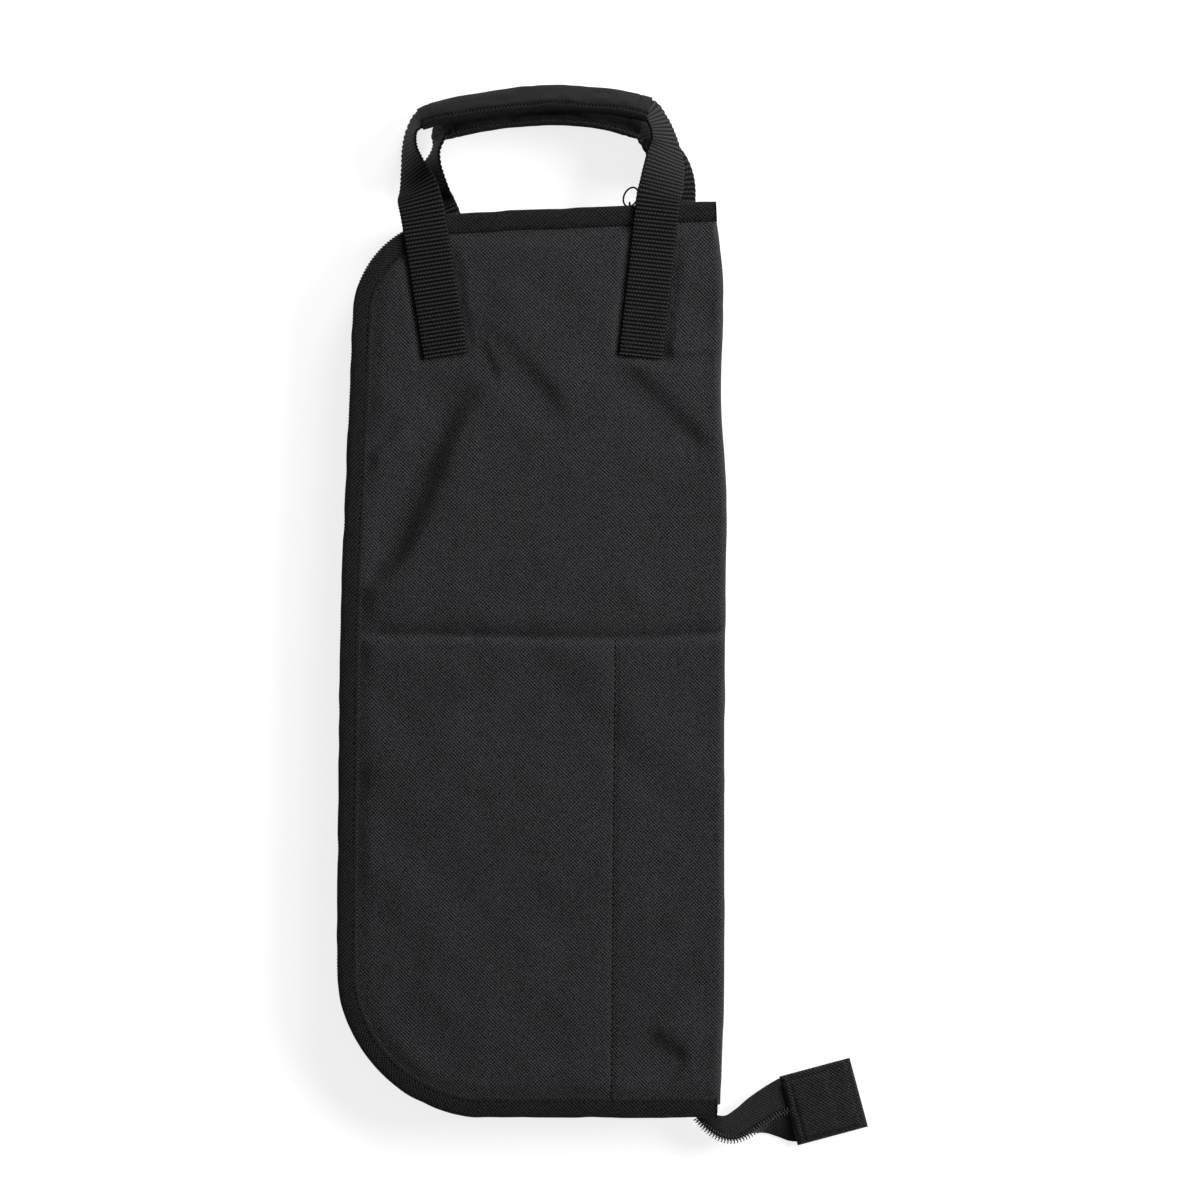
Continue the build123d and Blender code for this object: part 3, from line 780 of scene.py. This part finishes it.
def coil():
    pitch = 1.7
    for side in ("back", "front"):
        line, out = edge_line(33.0, 49.0, pitch / 2)
        first = 0 if side == "back" else 1
        line, out = line[first::2], out[first::2]
        along = np.stack([-out[:, 1], out[:, 0]], axis=1)
        lines = [tooth(p, n, t, side) for p, n, t in zip(line, out, along)]
        piece = dress(thread(f"{side}_coil_teeth", lines, 0.36), "coil")
        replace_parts(piece, f"{side}_zip_coil")
        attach(piece, f"{side}_cover")
        stop_z = 10.7 if side == "back" else THICK - 10.7
        place = (34.6, float(top_y(34.5)) - 0.75, stop_z)
        stop = box_piece(f"{side}_zip_stop_clip", place, (2.3, 1.9, 2.4), 0.4)
        dress(stop, "metal")
        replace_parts(stop, f"{side}_zip_stop")
        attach(stop, f"{side}_cover")


coil()


# ---- slider and pull ring

def slider():
    turn = math.atan(TOP_RISE)
    c, s = math.cos(turn), math.sin(turn)
    slider_x = 20.0

    def place(x, y):
        return slider_x + x * c - y * s, float(top_y(slider_x)) + x * s + y * c, MIDDLE

    plate = (11.0, 1.1, 9.6)
    outer = box_piece("slider_outer_plate", place(0.0, 0.85), plate, 0.5, turn)
    inner = box_piece("slider_inner_plate", place(0.0, -3.75), plate, 0.5, turn)
    post = box_piece("slider_post", place(3.3, -1.45), (2.2, 3.6, 1.4), 0.3, turn)
    for obj in (outer, inner, post):
        dress(obj, "metal")
        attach(obj, "zip_slider")
    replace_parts(outer, "slider_body")
    arch = []
    for angle in np.linspace(0.0, math.pi, 13):
        x, y, z = place(-4.7, 1.2 + 2.9 * math.sin(angle))
        arch.append((x, y, z + 2.5 * math.cos(angle)))
    crown = dress(thread("slider_crown_loop", [arch], 0.6, 10), "metal")
    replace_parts(crown, "slider_crown")
    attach(crown, "zip_slider")


slider()


def ring():
    """An oval wire ring, 2 mm to the left of the frame's own."""
    low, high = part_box("pull_ring")
    centre = (np.array(low) + np.array(high)) / 2 / MM - np.array([2.0, 0.1, 0.0])
    tilt = math.radians(64.6)
    long, short, wire = 5.3, 3.6, 0.5
    count, sides = 72, 12
    points = []
    for k in range(count):
        a = 2 * math.pi * k / count
        flat = np.array([long * math.cos(a), short * math.sin(a)])
        normal = unit(np.array([math.cos(a) / long, math.sin(a) / short]))
        row = []
        for j in range(sides):
            b = 2 * math.pi * j / sides
            q = flat + normal * wire * math.cos(b)
            x = q[0] * math.cos(tilt) - q[1] * math.sin(tilt)
            y = q[0] * math.sin(tilt) + q[1] * math.cos(tilt)
            row.append((centre[0] + x, centre[1] + y, centre[2] + wire * math.sin(b)))
        points.append(row)
    points.append(points[0])
    points = np.array(points)
    obj = surface("pull_ring_wire", points, points[..., 0], points[..., 1], around=True, flip=True)
    dress(obj, "wire")
    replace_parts(obj, "pull_ring")
    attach(obj, "pull_ring")


ring()


# ---- handles

GRIP_HEM = 6.0


def on_line(line, y, shift):
    (x0, y0), (x1, y1) = line
    return (x0 + (x1 - x0) * (y - y0) / (y1 - y0) + shift, y)


# Legs outside each grip and the grip's own line, as x, y and the turn in degrees from flat to on edge.
# edge is the height at which the webbing lies when flat, side the way that it leans as it turns,
# shift how far its sewn ends stand to the right of the front ones, and thick the grip's thickness.
HANDLES = {
    "front": {
        "left": [(-95.4, 219, 7), (-97.9, 229, 40), (-100.2, 239, 60), (-101.2, 248, 70), (-99.8, 256, 72)],
        "right": [(29.8, 261.5, 60), (32.8, 254.5, 57), (34.2, 247.0, 48), (33.8, 238.5, 29), (31.8, 226, 9)],
        "grip": [(-95.2, 261.8, 62), (-84.0, 265.6, 60), (-59.7, 269.6, 57), (-34.7, 272.4, 56),
                 (-20.5, 272.7, 56), (5.8, 270.9, 58), (25.4, 266.9, 57)],
        "edge": 25.5, "side": -1.0, "shift": 0.0, "thick": 8.4,
    },
    "back": {
        "left": [(-89.2, 219, 7), (-89.4, 229, 42), (-88.8, 238, 64), (-87.4, 245, 76), (-85.4, 250.6, 74)],
        "right": [(26.0, 250.4, 60), (31.0, 244.5, 34), (36.0, 237.5, 14), (38.4, 229.5, 8), (38.6, 221, 4)],
        "grip": [(-83.2, 256.6, 60), (-59.7, 261.2, 62), (-26.8, 264.4, 61), (-0.5, 262.2, 62),
                 (20.5, 257.2, 59)],
        "edge": 1.1, "side": 1.0, "shift": BACK_SHIFT, "thick": 5.2,
    },
}


def grip_line(h, count):
    """Centre and turn along the grip, evenly spaced."""
    rows = curve(h["grip"], 0.5)
    length = run_length(rows[:, :2])
    at = np.linspace(0.0, length[-1], count)
    rows = np.stack([np.interp(at, length, rows[:, k]) for k in range(3)], axis=1)
    return rows[:, :2], rows[:, 2]


def stations(xy, turns, edge, side):
    """Rows of centre and width direction for a strip that turns from flat to on edge."""
    xy = np.asarray(xy, float)
    along = unit(np.gradient(xy, axis=0))
    turn = np.radians(turns)
    inward = np.stack([along[:, 1], -along[:, 0]], axis=1) * np.cos(turn)[:, None]
    z = edge + side * GRIP_HEIGHT / 2 * np.sin(turn)
    return np.column_stack([xy, z, inward, np.sin(turn)])


def handle_strap(name, h):
    """The handle's webbing from one sewn end through the grip to the other, ribs and all."""
    shift = h["shift"]
    grip, turns = grip_line(h, 13)
    left = [on_line(LEFT_STRAP, y, shift) for y in (SEWN_Y, 160.0, 186.0, 208.0)]
    right = [on_line(RIGHT_STRAP, y, shift) for y in (216.0, 190.0, 162.0, SEWN_Y)]
    xy = left + [p[:2] for p in h["left"]] + grip.tolist() + [p[:2] for p in h["right"]] + right
    turn = [0.0] * 4 + [p[2] for p in h["left"]] + turns.tolist() + [p[2] for p in h["right"]] + [0.0] * 4
    rows = curve(stations(xy, np.array(turn), h["edge"], h["side"]), RIB_PITCH / 4)
    centre = rows[:, :3]
    along = unit(np.gradient(centre, axis=0))
    wide = unit(rows[:, 3:] - along * (rows[:, 3:] * along).sum(1, keepdims=True))
    normal = np.cross(wide, along)
    s = run_length(centre)
    count = 67
    a = np.linspace(-1.0, 1.0, count)
    profile = 0.42 * np.sqrt(np.maximum(1.0 - np.abs(a) ** 7, 0.0)) + 0.05
    rib = np.abs(np.sin(math.pi * s / RIB_PITCH))[:, None] ** 0.9
    stagger = 0.5 * math.pi * np.floor(s / RIB_PITCH)[:, None]
    knots_across = 14
    bumps = 0.6 + 0.4 * np.abs(np.cos(math.pi * a[None] * knots_across / 2 + stagger)) ** 0.7
    relief = 0.7 * rib * bumps * (np.abs(a) < 0.97)
    top = profile[None] + relief
    edge_wave = 1.0 + 0.012 * np.sin(2 * math.pi * s / RIB_PITCH)[:, None]
    across = a[None] * WEBBING_W / 2 * edge_wave
    middle = centre[:, None] + wide[:, None] * across[..., None]
    upper = middle + normal[:, None] * top[..., None]
    lower = middle - normal[:, None] * top[..., None]
    points = both_faces(upper, lower)
    points[..., 2] = np.maximum(points[..., 2], 0.0)
    u = both_faces(across, across)
    v = np.repeat(s[:, None], 2 * count, axis=1)
    # The relief also goes to the webbing's material, where it sets painted shade in the valleys and painted
    # highlight on the ribs' tops.
    relief = both_faces(relief, relief)
    obj = surface(f"{name}_handle_strap", points, u, v, around=True, caps=True, relief=relief)
    dress(obj, "webbing")
    z = (25.5 if name == "front" else 0.95) * MM
    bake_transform(obj)
    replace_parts(obj, f"{name}_handle_webbing", f"{name}_strap_end_left", f"{name}_strap_end_right")


def grip_section(h, phi):
    """Height and thickness offsets of the padded sleeve's surface at each angle round it."""
    c, s = np.cos(phi), np.sin(phi)
    high = np.sign(c) * np.abs(c) ** 0.8 * GRIP_HEIGHT / 2
    thick = np.sign(s) * np.abs(s) ** 0.75 * h["thick"] / 2
    return high, thick


def grip_sleeve(name, h):
    """The padded sleeve round the middle of a handle, with its closing seam and gathered cloth."""
    count, around = 190, 88
    xy, turns = grip_line(h, count)
    rows = stations(xy, turns, h["edge"], h["side"])
    centre = rows[:, :3]
    along = unit(np.gradient(centre, axis=0))
    wide = unit(rows[:, 3:] - along * (rows[:, 3:] * along).sum(1, keepdims=True))
    normal = np.cross(wide, along)
    s = run_length(centre)
    phi = np.linspace(0.0, 2 * math.pi, around, endpoint=False)
    pinch = 1.0 - 0.12 * bell(s, 4.0) - 0.12 * bell(s - s[-1], 4.0)
    high, thick = grip_section(h, phi)
    seed = 61 if name == "front" else 71
    gather = noise(s[:, None] + 0 * phi, high[None] * 1.5 + 0 * s[:, None], 11.0, seed)
    fine = noise(s[:, None] + 0 * phi, high[None] + 30.0 + 0 * s[:, None], 5.0, seed + 1)
    puff = (0.45 * gather + 0.22 * fine) * ease(s / 12.0)[:, None] * ease((s[-1] - s) / 12.0)[:, None]
    seam_at = 0.60 + 0.10 * noise(s, 0 * s, 10.0, seed + 2)[:, None]
    groove = bell(phi[None] - seam_at, 0.12)
    lip = bell(phi[None] - seam_at + 0.42, 0.3)
    hem = -0.5 * bell(s - GRIP_HEM, 0.8) - 0.5 * bell(s - s[-1] + GRIP_HEM, 0.8)
    gathers = 0.7 * noise(s, 0 * s, 4.5, seed + 3)[:, None] * bell(phi[None] - seam_at - 0.1, 0.35)
    swell = puff - 1.9 * groove + 0.5 * lip + gathers + hem[:, None]
    out = (wide[:, None] * (high * 2.0 / GRIP_HEIGHT)[None, :, None] * 0.35
           + normal[:, None] * (thick * 2.0 / h["thick"])[None, :, None])
    shell = centre[:, None] + wide[:, None] * high[None, :, None] * (0.93 + 0.07 * pinch[:, None, None])
    shell = shell + normal[:, None] * (thick[None] * pinch[:, None])[..., None] + out * swell[..., None]

    def end_rings(row, direction):
        middle = centre[row]
        offset = shell[row] - middle
        lateral = (offset @ normal[row])[:, None] * normal[row]
        vertical = (offset @ wide[row])[:, None] * wide[row]
        return [middle + vertical * tall + lateral * thin + along[row] * direction * step
                for tall, thin, step in ((1.0, 0.93, 0.35), (0.985, 0.72, 0.1), (0.985, 0.45, -1.6))]

    first = end_rings(0, -1.0)
    last = end_rings(count - 1, 1.0)
    points = np.stack(first[::-1] + list(shell) + last)
    points[..., 2] = np.maximum(points[..., 2], 0.0)
    girth = run_length(np.column_stack([high, thick]))
    full = np.concatenate([[s[0]] * 3, s, [s[-1]] * 3])
    u = np.repeat(full[:, None], around, axis=1)
    v = np.repeat(girth[None], len(full), axis=0)
    obj = surface(f"{name}_grip_cover", points, u, v, around=True, caps=True)
    dress(obj, "grip")
    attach(obj, f"{name}_handle")
    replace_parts(obj, f"{name}_grip_sleeve", f"{name}_grip_padding")

    lines = []
    for value in (GRIP_HEM, s[-1] - GRIP_HEM):
        row = int(np.argmin(np.abs(s - value)))
        for k in range(2, around - 2, 2):
            if thick[k] > 0 and thick[k + 1] > 0:
                a, b = shell[row, k], shell[row, k + 1]
                lines.append([a, a * 0.6 + b * 0.4 + normal[row] * 0.18, b])
    stitches(f"{name}_grip_stitches", lines, 0.2, f"{name}_handle", 5)


def box_stitches(name, h):
    """The stitched rectangle and cross that hold each strap's end."""
    half_width, low_y, high_y = 9.3, 138.6, 160.6
    pitch, stitch = 2.9, 2.3
    above = 1.0 if name == "front" else -1.0
    z = h["edge"] + 0.86 * above
    dip = -0.34 * above
    lines = []
    for strap in (LEFT_STRAP, RIGHT_STRAP):
        a, b, c, d = (np.array([on_line(strap, y, h["shift"])[0] + side * half_width, y])
                      for y, side in ((low_y, -1), (low_y, 1), (high_y, 1), (high_y, -1)))
        for start, end in ((a, b), (b, c), (c, d), (d, a), (a, c), (b, d)):
            length = np.linalg.norm(end - start)
            way = (end - start) / length
            for k in range(int(length / pitch)):
                p = start + way * (pitch * k + 0.4)
                lines.append([(*(p + way * stitch * share), z + drop)
                              for share, drop in ((0.0, dip), (0.3, 0.0), (0.7, 0.0), (1.0, dip))])
    stitches(f"{name}_strap_stitches", lines, 0.3, f"{name}_cover")


for handle_name, handle in HANDLES.items():
    handle_strap(handle_name, handle)
    grip_sleeve(handle_name, handle)
    box_stitches(handle_name, handle)


# ---- divider stitching on the front cover

def divider_stitches():
    lines = []
    for p in curve(DIVIDER, 3.0):
        x, y = np.array([p[0]]), np.array([p[1]])
        z = MIDDLE + float(cover_height(x, y, 0.0, True)[0])
        lines.append([(p[0], p[1] + step, z + lift)
                      for step, lift in ((-1.3, -0.15), (-0.6, 0.25), (0.6, 0.25), (1.3, -0.15))])
    stitches("front_divider_stitches", lines, 0.28, "front_cover")


divider_stitches()


# ---- zip tail

# Each row: the coil's x, y, z, the upper tape's outer edge, then the lower tape's outer edge
TAIL = [
    (50.7, -265.6, 13.0, 50.5, -260.0, 18.0, 51.0, -265.2, 3.6),
    (56.4, -271.3, 12.4, 57.5, -262.4, 16.8, 57.2, -270.6, 2.6),
    (62.8, -275.7, 11.2, 65.2, -264.4, 13.8, 63.8, -274.9, 2.2),
    (70.4, -277.3, 9.6, 71.0, -261.4, 11.0, 71.0, -276.5, 1.8),
    (77.5, -275.0, 8.0, 76.5, -256.8, 8.6, 78.6, -275.4, 1.2),
    (85.0, -270.6, 6.2, 82.8, -252.6, 6.6, 87.0, -275.4, 0.7),
    (91.0, -266.8, 4.6, 89.2, -248.8, 5.0, 93.5, -277.3, 0.7),
    (98.5, -263.4, 3.5, 95.8, -245.4, 3.8, 100.0, -279.5, 1.2),
    (104.5, -261.8, 3.3, 101.0, -244.0, 3.6, 105.6, -279.8, 2.2),
]


def tail_tape(name, first, seed):
    """One half of the tail's tape, between the coil and its outer edge."""
    rows = curve(TAIL, 1.0)
    coil_line = rows[:, :3]
    edge = rows[:, first:first + 3]
    s = run_length(coil_line)
    a = np.linspace(0.0, 1.0, 16)
    middle = coil_line[:, None] * (1.0 - a)[None, :, None] + edge[:, None] * a[None, :, None]
    along = unit(np.gradient(coil_line, axis=0))
    face = unit(np.cross(unit(edge - coil_line), along))
    width = np.linalg.norm(edge - coil_line, axis=1)[:, None] * a[None]
    sag = 0.6 * noise(s[:, None] + 0 * a, width, 10.0, seed) * a[None] * (s[-1] - s > 8.0)[:, None]
    top = middle + face[:, None] * (sag + 0.22)[..., None]
    under = middle + face[:, None] * (sag - 0.22)[..., None]
    points = both_faces(top, under)
    points[..., 2] = np.maximum(points[..., 2], 0.1)
    u = both_faces(width, width)
    v = np.repeat(s[:, None], 2 * len(a), axis=1)
    obj = dress(surface(name, points, u, v, around=True, caps=True), "tape")
    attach(obj, "zip_tail")
    return obj


def tail_teeth():
    """The closed coil's loops, taken in turn from the two halves, on the face of the tape."""
    rows = curve(TAIL, 0.8)
    coil_line = rows[:, :3]
    along = unit(np.gradient(coil_line, axis=0))
    out = unit(rows[:, 3:6] - coil_line)
    out = unit(out - along * (out * along).sum(1, keepdims=True))
    face = np.cross(along, out)
    lines = []
    for k, (p, t, w, n) in enumerate(zip(coil_line, along, out, face)):
        side = 1.0 if k % 2 else -1.0
        row = []
        for across, lift in ((2.0, 0.3), (2.1, 0.9), (1.3, 1.3), (0.2, 1.3), (-0.5, 1.0), (-0.4, 0.5)):
            row.append(p + w * (across * side) + n * lift + t * (0.12 * side))
        lines.append(row)
    obj = dress(thread("tail_coil_teeth", lines, 0.34), "coil")
    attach(obj, "zip_tail")
    return obj


TAB_HALF = (19.35, 18.95)
TAB_CENTRE = (118.3, -258.3, 3.4)
TAB_TURN = math.radians(15.0)


def tab_place(x, y):
    c, s = math.cos(TAB_TURN), math.sin(TAB_TURN)
    return TAB_CENTRE[0] + x * c - y * s, TAB_CENTRE[1] + x * s + y * c


def tail_tab():
    """A square of fabric folded over the end of the tape, hemmed and stitched round."""
    n = 60
    u = np.linspace(-1.0, 1.0, n)
    x, y = np.meshgrid(u * TAB_HALF[0], u * TAB_HALF[1], indexing="ij")
    rim = np.maximum(np.abs(x) / TAB_HALF[0], np.abs(y) / TAB_HALF[1])
    puff = 2.7 * np.sqrt(np.maximum(1.0 - rim ** 6, 0.0))
    tape_bump = 0.5 * ease((16.0 - np.abs(y)) / 3.0) * ease((6.0 - x) / 4.0)
    seam_y, seam_right, seam_left = 16.2, 16.8, -14.8
    seams = bell(np.abs(y) - seam_y, 0.9) + bell(x - seam_right, 0.9) + bell(x - seam_left, 0.8)
    wrinkle = 0.22 * noise(x, y, 8.0, 81) * (rim < 0.9)
    height = puff + (tape_bump - 0.6 * seams) * (rim < 0.985) + wrinkle
    place_x, place_y = tab_place(x, y)
    middle = TAB_CENTRE[2]
    top = np.stack([place_x, place_y, middle + height], axis=-1)
    low = np.stack([place_x, place_y, middle - np.minimum(height, 2.9)], axis=-1)
    faces = grid_faces(n, n) + [list(reversed(f)) for f in grid_faces(n, n, n * n)]
    points = np.vstack([top.reshape(-1, 3), low.reshape(-1, 3)])
    cloth = np.stack([x, y, 0 * x], axis=-1).reshape(-1, 3)
    obj = dress(add_mesh("tail_tab_cloth", points, faces, np.vstack([cloth, cloth])), "tab")
    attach(obj, "zip_tail")
    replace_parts(obj, "tail_tab", "tail_stop")
    pitch, z = 2.7, middle + 2.45
    lines = []
    for start, end in (((-17.0, seam_y), (seam_right, seam_y)), ((-17.0, -seam_y), (seam_right, -seam_y)),
                       ((seam_right, -16.0), (seam_right, 16.0)), ((seam_left, -16.0), (seam_left, 16.0))):
        start, end = np.array(start), np.array(end)
        length = np.linalg.norm(end - start)
        way = (end - start) / length
        for k in range(int(length / pitch)):
            p = start + way * (k * pitch + 0.3)
            lines.append([(*tab_place(*(p + way * step)), z + lift)
                          for step, lift in ((0.0, -0.3), (1.1, 0.0), (2.1, -0.3))])
    stitches("tail_tab_stitches", lines, 0.22, "zip_tail")


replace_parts(tail_tape("tail_upper_tape_cloth", 3, 91), "tail_upper_tape")
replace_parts(tail_tape("tail_lower_tape_cloth", 6, 95), "tail_lower_tape")
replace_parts(tail_teeth(), "tail_coil")
tail_tab()


# ---- floor, light and camera

def area_light(name, place, target, size, power):
    data = bpy.data.lights.new(name, "AREA")
    data.shape = "RECTANGLE"
    data.size = size[0]
    data.size_y = size[1]
    data.energy = power
    obj = bpy.data.objects.new(name, data)
    bpy.context.scene.collection.objects.link(obj)
    obj.location = place
    way = np.array(target) - np.array(place)
    yaw = math.atan2(way[0], -way[1])
    pitch = math.atan2(math.hypot(way[0], way[1]), -way[2])
    obj.rotation_euler = (pitch, 0.0, yaw + math.pi)
    return obj


def studio():
    bpy.ops.mesh.primitive_plane_add(size=8.0, location=(0.0, 0.0, -0.0004))
    floor = bpy.context.active_object
    floor.name = "floor"
    material = bpy.data.materials.new("pale_floor")
    material.use_nodes = True
    shader = material.node_tree.nodes["Principled BSDF"]
    shader.inputs["Base Color"].default_value = (0.4, 0.4, 0.4, 1.0)
    shader.inputs["Roughness"].default_value = 0.9
    shader.inputs["Specular IOR Level"].default_value = 0.1
    shader.inputs["Emission Color"].default_value = (1.0, 1.0, 1.0, 1.0)
    shader.inputs["Emission Strength"].default_value = 0.8
    floor.data.materials.append(material)
    lights = [
        area_light("key", (2.0, 0.55, 1.05), (0.0, 0.0, 0.0), (1.1, 0.9), 68.0),
        area_light("top", (0.9, 1.9, 1.15), (0.0, 0.0, 0.0), (1.0, 1.0), 32.0),
        area_light("overhead", (-0.2, -0.1, 2.4), (0.0, 0.0, 0.0), (2.2, 2.2), 4.0),
    ]
    world = bpy.data.worlds.new("studio")
    world.use_nodes = True
    world.node_tree.nodes["Background"].inputs[0].default_value = (1.0, 1.0, 1.0, 1.0)
    world.node_tree.nodes["Background"].inputs[1].default_value = 0.09
    bpy.context.scene.world = world
    settings = bpy.context.scene.view_settings
    settings.view_transform = "Standard"
    settings.look = "None"
    settings.exposure = 0.0

    data = bpy.data.cameras.new("camera")
    data.lens = 100.0
    data.sensor_width = 36.0
    camera = bpy.data.objects.new("camera", data)
    bpy.context.scene.collection.objects.link(camera)
    camera.location = (-0.0005, 0.0081, 1.774)
    bpy.context.scene.camera = camera


studio()
